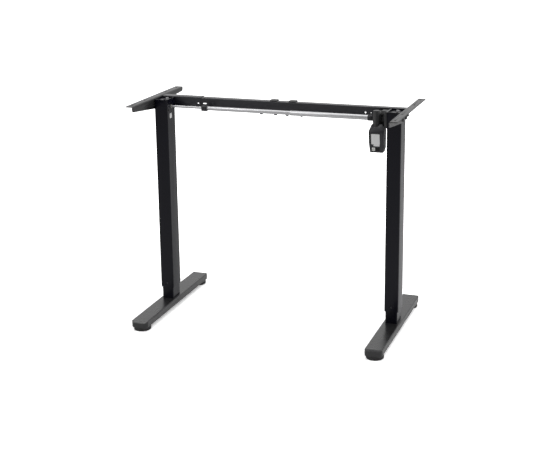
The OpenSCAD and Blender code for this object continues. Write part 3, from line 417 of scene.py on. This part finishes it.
def finish_piece(name, bm, carrier, slot, finish=None):
    """Turns a bmesh into a piece that rides on a body."""
    mesh = bpy.data.meshes.new(name)
    bmesh.ops.recalc_face_normals(bm, faces=bm.faces)
    bm.to_mesh(mesh)
    bm.free()
    mesh.polygons.foreach_set("use_smooth", [True] * len(mesh.polygons))
    mesh.set_sharp_from_angle(angle=math.radians(SMOOTH))
    piece = bpy.data.objects.new(name, mesh)
    bpy.context.scene.collection.objects.link(piece)
    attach(piece, carrier)
    dress(piece, finish or slot)
    return piece


def round_edges(bm, edges, radius, segments=2):
    if edges and radius > 0:
        bmesh.ops.bevel(bm, geom=edges, offset=radius, offset_type="OFFSET", affect="EDGES",
                        segments=segments, profile=0.5, material=-1, clamp_overlap=True)


def welded_copy(node):
    """The CAD node's mesh with its doubled vertices merged."""
    bm = bmesh.new()
    bm.from_mesh(NODES[node].data)
    bmesh.ops.remove_doubles(bm, verts=bm.verts, dist=WELD)
    return bm


def sharp_edges(bm):
    return [e for e in bm.edges if e.is_manifold and e.calc_face_angle(0.0) > math.radians(SHARP)]


def soften(node, radius, segments=2, bends=(), bend=0.0, shape=None):
    """Replaces a CAD node by the same shape with rounded edges. bends picks the edges of a folded sheet."""
    bm = welded_copy(node)
    bmesh.ops.dissolve_limit(bm, angle_limit=math.radians(FLAT), verts=bm.verts, edges=bm.edges)
    if bends:
        round_edges(bm, [e for e in sharp_edges(bm) if any(is_bend(e) for is_bend in bends)], bend, 4)
    round_edges(bm, sharp_edges(bm), radius, segments)
    if shape:
        shape(bm)
    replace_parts(finish_piece(node + "_finished", bm, CARRIER[node], SLOT[node]), node)


def along(axis, **at):
    """A test for edges that run along an axis at the given coordinates."""
    index = "xyz".index(axis)

    def test(edge):
        a, b = (v.co for v in edge.verts)
        run = b - a
        if run.length < BEND_RUN or abs(run[index]) < 0.999 * run.length:
            return False
        return all(abs(a["xyz".index(k)] - v) < MATCH for k, v in at.items())
    return test


def islands(bm):
    """The vertices of each separate solid, in the mesh's own order."""
    left, found = set(bm.verts), []
    for start in bm.verts:
        if start not in left:
            continue
        left.remove(start)
        todo, group = [start], []
        while todo:
            v = todo.pop()
            group.append(v)
            for e in v.link_edges:
                other = e.other_vert(v)
                if other in left:
                    left.remove(other)
                    todo.append(other)
        found.append(group)
    return found


def off_axis(point, axis):
    """How far a point lies from the line through the origin along a unit vector."""
    return (point - point.dot(axis) * axis).length


def screws_of(node):
    """Seat, direction, head radius and height, length and shank radius of each screw in a node's mesh."""
    bm = welded_copy(node)
    screws = []
    for group in islands(bm):
        low = Vector([min(v.co[i] for v in group) for i in range(3)])
        high = Vector([max(v.co[i] for v in group) for i in range(3)])
        size, mid = high - low, (low + high) / 2
        # the two sides of the head are alike, so the third is the screw's axis
        axis = min(range(3), key=lambda i: abs(size[(i + 1) % 3] - size[(i + 2) % 3]))
        radius = max(size[(axis + 1) % 3], size[(axis + 2) % 3]) / 2
        out = Vector((0.0, 0.0, 0.0))
        out[axis] = 1.0
        rim = [v.co[axis] for v in group if off_axis(v.co - mid, out) > RIM_SHARE * radius]
        head_low, head_high = min(rim), max(rim)
        out[axis] = 1.0 if head_high > mid[axis] else -1.0
        seat = mid.copy()
        seat[axis] = head_low if out[axis] > 0 else head_high
        tip = max((seat - v.co).dot(out) for v in group)
        thin = [off_axis(v.co - seat, out) for v in group if (seat - v.co).dot(out) > tip / 2]
        shank = max(thin, default=SHANK_SHARE * radius)
        screws.append((seat, out, radius, head_high - head_low, tip, shank))
    bm.free()
    return screws


def verts_of(geom):
    """The vertices in an operator's result."""
    return [item for item in geom if isinstance(item, bmesh.types.BMVert)]


def edges_among(edges, verts):
    return [e for e in edges if all(v in verts for v in e.verts)]


def add_solid(bm, made, place):
    """Moves a small solid to its place and adds it to a bmesh."""
    bmesh.ops.recalc_face_normals(made, faces=made.faces)
    bmesh.ops.transform(made, matrix=place, verts=made.verts)
    mesh = bpy.data.meshes.new("solid")
    made.to_mesh(mesh)
    made.free()
    bm.from_mesh(mesh)
    bpy.data.meshes.remove(mesh)


def screw(bm, seat, out, radius, height, tip, shank, edge):
    """A socket screw: turned outline, round rim, and a hexagonal recess in its head."""
    made = bmesh.new()
    bmesh.ops.create_cone(made, cap_ends=True, segments=SCREW_STEPS, radius1=radius,
                          radius2=radius * SCREW_TOP, depth=height,
                          matrix=Matrix.Translation((0, 0, height / 2)))
    rim = [e for e in made.edges if all(v.co.z > height * 0.99 for v in e.verts)]
    round_edges(made, rim, min(edge, height / 3), 3)
    # the head's top gives way to a ring round the hexagonal recess
    top = max(made.faces, key=lambda f: f.calc_center_median().z)
    rim = list(top.verts)
    made.faces.remove(top)
    hexagon = bmesh.ops.create_circle(made, cap_ends=False, segments=6, radius=radius * SCREW_KEY,
                                      matrix=Matrix.Translation((0, 0, height)))["verts"]
    ring = [e for e in edges_among(made.edges, rim) if e.is_boundary]
    hex_ring = edges_among(made.edges, hexagon)
    bmesh.ops.bridge_loops(made, edges=ring + hex_ring)
    wall = bmesh.ops.extrude_edge_only(made, edges=hex_ring)["geom"]
    floor = verts_of(wall)
    bmesh.ops.translate(made, verts=floor, vec=(0, 0, -height * SCREW_KEY_DEPTH))
    wall_edges = [item for item in wall if isinstance(item, bmesh.types.BMEdge)]
    bmesh.ops.contextual_create(made, geom=edges_among(wall_edges, floor))
    # the shank grows from its bevelled tip up into the head
    body = bmesh.ops.create_cone(made, cap_ends=True, segments=SCREW_STEPS, radius1=shank * TIP_SHARE,
                                 radius2=shank, depth=TIP_BEVEL,
                                 matrix=Matrix.Translation((0, 0, TIP_BEVEL / 2 - tip)))["verts"]
    end = [f for f in made.faces if all(v in body and v.co.z > TIP_BEVEL / 2 - tip for v in f.verts)]
    moved = bmesh.ops.extrude_face_region(made, geom=end)["geom"]
    bmesh.ops.delete(made, geom=end, context="FACES_ONLY")
    bmesh.ops.translate(made, verts=verts_of(moved), vec=(0, 0, tip - TIP_BEVEL + SHANK_SUNK))
    add_solid(bm, made, Matrix.Translation(seat) @ out.to_track_quat("Z", "Y").to_matrix().to_4x4())


def detailed_screws(node, edge, bright=None):
    """Replaces a node of screws. Those that point up may be bright, as a piece of their own."""
    dark, light = bmesh.new(), bmesh.new()
    for seat, out, radius, height, tip, shank in screws_of(node):
        screw(light if bright and out.z > UPWARD else dark, seat, out, radius, height, tip, shank, edge)
    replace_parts(finish_piece(node + "_finished", dark, CARRIER[node], SLOT[node]), node)
    if bright:
        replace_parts(finish_piece(bright, light, CARRIER[node], "plated_steel", "bright_screws"), node)
    else:
        light.free()


def rounded_plate(bm, width, height, thick, corner, place):
    """A thin plate with round corners, in its own X and Y, moved to a place."""
    made = bmesh.new()
    bmesh.ops.create_grid(made, x_segments=1, y_segments=1, size=0.5)
    bmesh.ops.scale(made, vec=(width, height, 1.0), verts=made.verts)
    bmesh.ops.bevel(made, geom=list(made.verts), offset=corner, affect="VERTICES", segments=5,
                    profile=0.5, material=-1, clamp_overlap=True)
    up = bmesh.ops.extrude_face_region(made, geom=list(made.faces))["geom"]
    bmesh.ops.translate(made, verts=verts_of(up), vec=(0, 0, thick))
    add_solid(bm, made, place)


def lathe(bm, outline, steps):
    """Spins an outline of (radius, height) pairs round Z."""
    verts = [bm.verts.new((r, 0.0, z)) for r, z in outline]
    edges = [bm.edges.new(pair) for pair in zip(verts, verts[1:])]
    bmesh.ops.spin(bm, geom=verts + edges, axis=(0, 0, 1), cent=(0, 0, 0), steps=steps,
                   angle=math.tau, use_merge=True)
    bmesh.ops.remove_doubles(bm, verts=bm.verts, dist=WELD / 2)


# ---------------------------------------------------------------- pieces


class DESKFRAME_OT_finishes(Operator):
    """Make the paints, plastics and metals, and dress the plain nodes in them"""
    bl_idname = "deskframe.finishes"
    bl_label = "Finishes"

    def execute(self, context):
        make_finishes(context.scene.desk_frame_colours)
        return {"FINISHED"}


class DESKFRAME_OT_feet(Operator):
    """Round the feet's plastic end caps and give the column bolts their sockets"""
    bl_idname = "deskframe.feet"
    bl_label = "Feet"

    def execute(self, context):
        sizes = context.scene.desk_frame_sizes
        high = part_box("left_foot_end_caps")[1]

        def crown(edge):
            """The upper rim round a cap's outer end."""
            return all(v.co.z > high.z - MATCH and abs(v.co.y) > high.y - CAP_CROWN for v in edge.verts)

        for side in SIDES:
            soften(side + "_foot_end_caps", sizes.cap_edge, 3, bends=(crown,), bend=sizes.cap_crown)
            detailed_screws(side + "_foot_bolts", sizes.screw_edge)
        return {"FINISHED"}


class DESKFRAME_OT_level_pads(Operator):
    """Turn the level pads with their grip ribs and threaded studs"""
    bl_idname = "deskframe.level_pads"
    bl_label = "Level pads"

    def execute(self, context):
        ribs = context.scene.desk_frame_sizes.pad_ribs
        for side in SIDES:
            for end in ("front", "back"):
                self.pad(side + "_" + end + "_level_pad", ribs)
        return {"FINISHED"}

    def pad(self, node, ribs):
        low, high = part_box(node)
        radius, tip = (high.x - low.x) / 2, high.z
        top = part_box(node.split("_")[0] + "_foot_bar")[0].z
        outline = [(0, 0)]
        outline += [(radius - inward * MM, up * MM) for inward, up in PAD_FOOT]
        outline += [(radius - inward * MM, top - down * MM) for inward, down in PAD_TOP]
        outline.append((STUD_RADIUS, top))
        z = top + STUD_NECK
        while z < tip - STUD_PITCH:
            outline += [(STUD_RADIUS, z), (STUD_RADIUS - STUD_THREAD, z + STUD_PITCH / 2)]
            z += STUD_PITCH
        across, along_z = STUD_BEVEL
        outline += [(STUD_RADIUS, tip - along_z), (STUD_RADIUS - across, tip), (0, tip)]
        bm = bmesh.new()
        lathe(bm, outline, 2 * ribs)

        def raised(face):
            """Whether a face of the pad's upright wall lies in an even sector, where a rib stands."""
            centre = face.calc_center_median()
            if abs(face.normal.z) > 0.3 or centre.xy.length < radius - PAD_WALL or centre.z < RIB_FLOOR:
                return False
            return int(math.atan2(centre.y, centre.x) % math.tau / math.tau * 2 * ribs) % 2 == 0

        bmesh.ops.inset_individual(bm, faces=[f for f in bm.faces if raised(f)], thickness=RIB_INSET,
                                   depth=RIB_HEIGHT)
        bmesh.ops.translate(bm, verts=bm.verts, vec=(middle(node).x, middle(node).y, 0))
        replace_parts(finish_piece(node + "_finished", bm, CARRIER[node], SLOT[node]), node)


class DESKFRAME_OT_brackets(Operator):
    """Fold the side brackets' bend, round their edges and fit socket screws"""
    bl_idname = "deskframe.brackets"
    bl_label = "Brackets"

    def execute(self, context):
        sizes = context.scene.desk_frame_sizes
        for side in SIDES:
            node = side + "_side_bracket"
            low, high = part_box(node)
            inner = high.x if side == "left" else low.x
            soften(node, sizes.steel_edge, 2, [along("y", x=inner, z=high.z)], sizes.sheet_bend)
            detailed_screws(side + "_head_bolts", sizes.screw_edge, side + "_cover_screws")
        return {"FINISHED"}


class DESKFRAME_OT_columns(Operator):
    """Round the cut ends of the column tubes and the gear heads' covers"""
    bl_idname = "deskframe.columns"
    bl_label = "Columns"

    def execute(self, context):
        sizes = context.scene.desk_frame_sizes
        for side in SIDES:
            soften(side + "_outer_tube", sizes.steel_edge * CUT_EDGE, 1)
            soften(side + "_gear_head_cover", sizes.steel_edge, 2)
        return {"FINISHED"}


class DESKFRAME_OT_crossbeam(Operator):
    """Fold the crossbeam's sleeve and rail, and finish its lugs, studs and screws"""
    bl_idname = "deskframe.crossbeam"
    bl_label = "Crossbeam"

    def execute(self, context):
        sizes = context.scene.desk_frame_sizes
        for node in ("beam_sleeve", "beam_rail"):
            low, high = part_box(node)
            bends = [along("x", y=low.y, z=z) for z in (low.z, high.z)]
            soften(node, sizes.steel_edge * CUT_EDGE, 1, bends, sizes.sheet_bend * BEAM_BEND)
        soften("desk_top_lugs", sizes.steel_edge, 2)
        soften("hanging_studs", sizes.steel_edge, 1)
        detailed_screws("beam_lock_screws", sizes.screw_edge)
        self.plug()
        return {"FINISHED"}

    def plug(self):
        """A black plug in a hole of the rail, its dark painted shade for the hole."""
        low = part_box("beam_rail")[0]
        bm = bmesh.new()
        lathe(bm, PLUG_OUTLINE, PLUG_STEPS)
        place = Matrix.Translation((PLUG_X, low.y, low.z + PLUG_UP)) @ Matrix.Rotation(math.pi / 2, 4, "X")
        bmesh.ops.transform(bm, matrix=place, verts=bm.verts)
        # Painted shade: the plug's black stands for the dark seen through this hole of the rail
        finish_piece("rail_plug_painted_shade", bm, "right_head", "cover_plastic")


class DESKFRAME_OT_drive_rod(Operator):
    """Round the tubes' ends, the collar and the rod's black hanger"""
    bl_idname = "deskframe.drive_rod"
    bl_label = "Drive rod"

    def execute(self, context):
        sizes = context.scene.desk_frame_sizes
        soften("thin_drive_tube", sizes.steel_edge, 2)
        soften("thick_drive_tube", sizes.steel_edge, 2)
        soften("shaft_collar", sizes.steel_edge * COLLAR_EDGE, 2)
        soften("rod_hanger", sizes.cast_edge, 3)
        return {"FINISHED"}


class DESKFRAME_OT_motor(Operator):
    """Round the motor's cover and cut its seam, and finish gearbox, cap, plate and socket"""
    bl_idname = "deskframe.motor"
    bl_label = "Motor"

    def execute(self, context):
        sizes = context.scene.desk_frame_sizes
        low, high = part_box("motor_cover")
        parting = low.y + COVER_PARTING * (high.y - low.y)
        centre = middle("motor_cover")

        def seam(bm):
            """A groove round the cover, where its two halves meet."""
            for offset in (-sizes.seam, 0.0, sizes.seam):
                bmesh.ops.bisect_plane(bm, geom=list(bm.verts) + list(bm.edges) + list(bm.faces),
                                       dist=WELD / 2, plane_co=(0, parting + offset, 0), plane_no=(0, 1, 0))
            bm.normal_update()
            for v in [v for v in bm.verts if abs(v.co.y - parting) < 5 * WELD]:
                outward = Vector((v.co.x - centre.x, 0.0, v.co.z - centre.z))
                if v.normal.dot(outward) > 0:
                    v.co -= SEAM_DEPTH * Vector((v.normal.x, 0.0, v.normal.z)).normalized()

        soften("motor_cover", sizes.moulded_edge, 4, shape=seam)
        soften("motor_gearbox", sizes.cast_edge, 2)
        for node in ("gearbox_side_cover", "gearbox_cap", "motor_mount_plate", "motor_socket"):
            soften(node, sizes.steel_edge, 2)
        detailed_screws("motor_screws", sizes.screw_edge)
        return {"FINISHED"}


def on_cover(x, share):
    """A place on the leaning front of the motor's cover, at a share of the cover's height."""
    low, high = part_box("motor_cover")
    depth, height = high.y - low.y, high.z - low.z
    lean = math.atan2(COVER_LEAN * depth, (COVER_BEND - COVER_FOOT) * height)
    y = low.y + COVER_LEAN * depth * (COVER_BEND - share) / (COVER_BEND - COVER_FOOT)
    return Matrix.Translation((x, y, low.z + share * height)) @ Matrix.Rotation(math.pi / 2 + lean, 4, "X")


class DESKFRAME_OT_labels(Operator):
    """Lay the bare labels on the motor cover and the left column, and a near-black plate, painted shade for
    the recess, in the cover's port
    """
    bl_idname = "deskframe.labels"
    bl_label = "Labels"

    def execute(self, context):
        sizes = context.scene.desk_frame_sizes
        x = middle("motor_cover").x
        bm = bmesh.new()
        for width, height, aside, share in MOTOR_LABEL:
            place = on_cover(x + aside, share) @ Matrix.Translation((0, 0, -LABEL_SET))
            rounded_plate(bm, width, height, sizes.label_thick, sizes.label_edge, place)
        finish_piece("motor_label", bm, "right_head", "socket_plastic", "label")
        self.port(x + PORT_RIGHT)
        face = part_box("left_outer_tube")[1].x
        bm = bmesh.new()
        place = Matrix.Translation((face - LABEL_SET, *COLUMN_LABEL_AT))
        place @= Matrix.Rotation(math.pi / 2, 4, "Y")
        rounded_plate(bm, COLUMN_LABEL, COLUMN_LABEL, sizes.label_thick, sizes.label_edge, place)
        finish_piece("column_label", bm, "left_head", "socket_plastic", "label")
        return {"FINISHED"}

    def port(self, x):
        """A plate with a sunk face beside the socket, near black as painted shade for the socket's recess."""
        bm = bmesh.new()
        place = on_cover(x, PORT_SHARE)
        rounded_plate(bm, PORT_WIDTH, PORT_HEIGHT, PORT_THICK, PORT_CORNER,
                      place @ Matrix.Translation((0, 0, -PORT_SET)))
        bm.normal_update()
        out = place.to_quaternion() @ Vector((0, 0, 1))
        face = [f for f in bm.faces if f.normal.dot(out) > 0.99]
        bmesh.ops.inset_region(bm, faces=face, thickness=PORT_RIM, depth=0.0)
        bmesh.ops.translate(bm, verts=list({v for f in face for v in f.verts}), vec=-PORT_SUNK * out)
        finish_piece("port_shade_plate", bm, "right_head", "cover_plastic", "painted_port_shade")


# ---------------------------------------------------------------- studio


class DESKFRAME_OT_studio(Operator):
    """Set up the pale floor, the soft lights and the camera"""
    bl_idname = "deskframe.studio"
    bl_label = "Studio"

    def execute(self, context):
        scene = context.scene
        scene.view_settings.view_transform = "Standard"
        self.world(scene)
        self.floor(scene)
        self.lamps(scene)
        self.camera(scene)
        return {"FINISHED"}

    def world(self, scene):
        world = bpy.data.worlds.new("studio")
        world.use_nodes = True
        scene.world = world
        tree = world.node_tree
        nodes, links = tree.nodes, tree.links
        background = nodes["Background"]
        background.inputs["Color"].default_value = (1.0, 1.0, 1.0, 1.0)

        def ramp(*values):
            """Turns a value between two ends into one between two others."""
            node = nodes.new("ShaderNodeMapRange")
            for name, given in zip(("Value", "From Min", "From Max", "To Min", "To Max"), values):
                if isinstance(given, float):
                    node.inputs[name].default_value = given
                else:
                    links.new(given, node.inputs[name])
            return node.outputs[0]

        # the camera sees plain white; reflections find a white room behind and a dim one in front
        path = nodes.new("ShaderNodeLightPath")
        place = nodes.new("ShaderNodeTexCoord")
        ways = nodes.new("ShaderNodeSeparateXYZ")
        links.new(place.outputs["Generated"], ways.inputs[0])
        left = ramp(ways.outputs[0], *ROOM_LEFT)
        room = ramp(ways.outputs[1], *ROOM_PARTS, left, ROOM_BACK)
        lit = ramp(path.outputs["Is Glossy Ray"], 0.0, 1.0, ROOM_GLOW, room)
        links.new(ramp(path.outputs["Is Camera Ray"], 0.0, 1.0, lit, 1.0), background.inputs["Strength"])

    def floor(self, scene):
        bm = bmesh.new()
        bmesh.ops.create_grid(bm, x_segments=1, y_segments=1, size=FLOOR_REACH)
        mesh = bpy.data.meshes.new("floor")
        bm.to_mesh(mesh)
        bm.free()
        floor = bpy.data.objects.new("floor", mesh)
        scene.collection.objects.link(floor)
        f = Finish("white_floor")
        f.tree.nodes.remove(f.shader)
        # seen directly it keeps the object's shadow near the feet and is plain white further off
        reach = f.add("ShaderNodeVectorMath", {"operation": "LENGTH"}, {0: f.place}, "Value")
        near, far = FLOOR_FADE
        glow = f.add("ShaderNodeMapRange", {}, {"Value": reach, "From Min": near, "From Max": far,
                                                "To Min": FLOOR_GLOW, "To Max": 1.0})
        white = f.add("ShaderNodeEmission", {}, {"Strength": glow})
        shadow = f.add("ShaderNodeBsdfDiffuse", {}, {"Color": (FLOOR_SHADOW,) * 3})
        seen = f.add("ShaderNodeAddShader", {}, {0: white, 1: shadow})
        plain = f.add("ShaderNodeBsdfDiffuse", {}, {"Color": (FLOOR_TONE,) * 3})
        camera_ray = f.add("ShaderNodeLightPath", {}, {}, "Is Camera Ray")
        mixed = f.add("ShaderNodeMixShader", {}, {0: camera_ray, 1: plain, 2: seen})
        # from below the floor is clear
        clear = f.add("ShaderNodeBsdfTransparent", {}, {})
        below = f.add("ShaderNodeNewGeometry", {}, {}, "Backfacing")
        sided = f.add("ShaderNodeMixShader", {}, {0: below, 1: mixed, 2: clear})
        f.link(sided, f.tree.nodes["Material Output"].inputs["Surface"])
        mesh.materials.append(f.material)

    def lamps(self, scene):
        for name, place, target, size, power in LAMPS:
            lamp = bpy.data.lights.new(name, "AREA")
            lamp.energy, lamp.size = power, size
            thing = bpy.data.objects.new(name, lamp)
            thing.location = place
            aim = Vector(target) - Vector(place)
            thing.rotation_euler = aim.to_track_quat("-Z", "Y").to_euler()
            scene.collection.objects.link(thing)

    def camera(self, scene):
        data = bpy.data.cameras.new("camera")
        data.lens, data.sensor_width, data.shift_y, data.clip_end = CAMERA_LENS, 36.0, CAMERA_SHIFT, 100.0
        camera = bpy.data.objects.new("camera", data)
        turn, rise = math.radians(CAMERA_AZIMUTH), math.radians(CAMERA_ELEVATION)
        back = Vector((math.sin(turn) * math.cos(rise), -math.cos(turn) * math.cos(rise), math.sin(rise)))
        right = Vector((0.0, 0.0, 1.0)).cross(back).normalized()
        frame = Matrix((right, back.cross(right), back)).transposed().to_4x4()
        camera.matrix_world = (Matrix.Translation(Vector(CAMERA_TARGET) + back * CAMERA_DISTANCE) @ frame
                               @ Matrix.Rotation(math.radians(CAMERA_ROLL), 4, "Z"))
        scene.collection.objects.link(camera)
        scene.camera = camera


class DESKFRAME_PT_panel(Panel):
    """The desk frame's pieces, sizes and colours"""
    bl_idname = "DESKFRAME_PT_panel"
    bl_label = "Desk Frame"
    bl_space_type = "VIEW_3D"
    bl_region_type = "UI"
    bl_category = "Desk Frame"

    def draw(self, context):
        for group in (context.scene.desk_frame_sizes, context.scene.desk_frame_colours):
            for name in group.__annotations__:
                self.layout.prop(group, name)
        for operator in STEPS:
            self.layout.operator(operator.bl_idname)


STEPS = (DESKFRAME_OT_finishes, DESKFRAME_OT_feet, DESKFRAME_OT_level_pads, DESKFRAME_OT_brackets,
         DESKFRAME_OT_columns, DESKFRAME_OT_crossbeam, DESKFRAME_OT_drive_rod, DESKFRAME_OT_motor,
         DESKFRAME_OT_labels, DESKFRAME_OT_studio)
CLASSES = (DeskFrameSizes, DeskFrameColours) + STEPS + (DESKFRAME_PT_panel,)


def register():
    for cls in CLASSES:
        bpy.utils.register_class(cls)
    bpy.types.Scene.desk_frame_sizes = PointerProperty(type=DeskFrameSizes)
    bpy.types.Scene.desk_frame_colours = PointerProperty(type=DeskFrameColours)


def unregister():
    del bpy.types.Scene.desk_frame_colours
    del bpy.types.Scene.desk_frame_sizes
    for cls in reversed(CLASSES):
        bpy.utils.unregister_class(cls)


def main():
    register()
    for step in STEPS:
        group, name = step.bl_idname.split(".")
        getattr(getattr(bpy.ops, group), name)()


if __name__ == "__main__":
    main()
